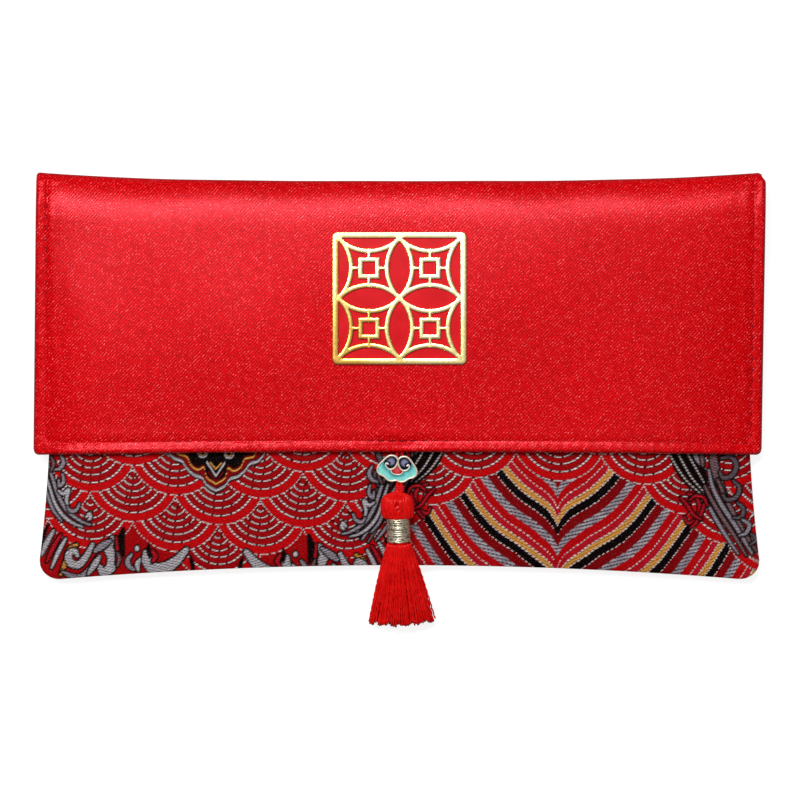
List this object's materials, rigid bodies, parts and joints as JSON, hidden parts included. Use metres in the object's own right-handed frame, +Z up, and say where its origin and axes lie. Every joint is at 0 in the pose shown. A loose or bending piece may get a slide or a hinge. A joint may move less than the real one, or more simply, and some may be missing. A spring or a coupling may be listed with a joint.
{
  "type": "gift envelope",
  "caption": "Padded cloth gift envelope with a satin flap, a woven wave pattern on the front, a pierced metal emblem, and an enamelled cloud charm with a silk tassel at the hem.",
  "frame": {"origin": "Middle of the flat rest on the back wall, on the table the envelope lies on.", "axes": "+X across the envelope to the right as seen from the front, +Y towards the fold, +Z up out of the front."},
  "size_m": [0.1846, 0.1173, 0.015],
  "materials": {
    "satin": "red satin with a fine twill and a soft sheen",
    "brocade": "red brocade woven with waves in gold, black, grey and white thread",
    "lining": "plain red lining cloth",
    "wadding": "white felted wadding",
    "thread": "red sewing thread",
    "stud": "bright pressed metal",
    "gold": "polished pale gold plating",
    "film": "glossy red backing film",
    "charm_metal": "polished pale gold plating",
    "turquoise": "glossy turquoise enamel",
    "indigo": "glossy dark blue enamel",
    "coral": "glossy coral red enamel",
    "cord": "red silk cord",
    "metallic_thread": "pale gold metallic thread",
    "silk": "bright red silk strands"
  },
  "bodies": {
    "pouch": {"front_panel": "brocade", "front_wadding": "wadding", "front_lining": "lining", "back_panel": "satin", "back_wadding": "wadding", "back_lining": "lining", "mouth_topstitch": "thread", "snap_socket": "stud", "snap_socket_thread": "thread"},
    "fold": {"fold_cover": "satin", "fold_lining": "lining"},
    "flap": {"flap_cover": "satin", "flap_wadding": "wadding", "flap_lining": "lining", "flap_topstitch": "thread", "emblem_film": "film", "emblem_lattice": "gold", "snap_ball": "stud", "snap_ball_thread": "thread"},
    "hanger": {"hanger_loop": "cord"},
    "charm": {"charm_plate": "charm_metal", "charm_turquoise": "turquoise", "charm_indigo": "indigo", "charm_coral": "coral"},
    "link": {"tassel_link": "cord"},
    "tassel": {"tassel_head": "silk", "tassel_core": "silk", "tassel_binding": "metallic_thread", "tassel_skirt": "silk"}
  },
  "joints": [
    {"name": "fold_turn", "type": "hinge", "parent": "pouch", "child": "fold", "pos_m": [0, 0.0487, 0.00287], "axis": [-1, 0, 0], "range_deg": [0, 88]},
    {"name": "flap_turn", "type": "hinge", "parent": "fold", "child": "flap", "pos_m": [0, 0.0487, 0.00996], "axis": [-1, 0, 0], "range_deg": [0, 88]},
    {"name": "hanger_lift", "type": "hinge", "parent": "flap", "child": "hanger", "pos_m": [0, -0.01987, 0.01226], "axis": [1, 0, 0], "range_deg": [-80, 0]},
    {"name": "charm_swing", "type": "hinge", "parent": "hanger", "child": "charm", "pos_m": [0, -0.02265, 0.01161], "axis": [0, -0.2253, 0.9743], "range_deg": [-20, 20]},
    {"name": "link_lift", "type": "hinge", "parent": "charm", "child": "link", "pos_m": [0, -0.02782, 0.0117], "axis": [1, 0, 0], "range_deg": [-70, 0]},
    {"name": "tassel_swing", "type": "hinge", "parent": "link", "child": "tassel", "pos_m": [0, -0.02872, 0.01272], "axis": [0, -0.2253, 0.9743], "range_deg": [-30, 30]}
  ],
  "couplings": [
    {"joint": "flap_turn", "follows": "fold_turn", "ratio": 1}
  ]
}
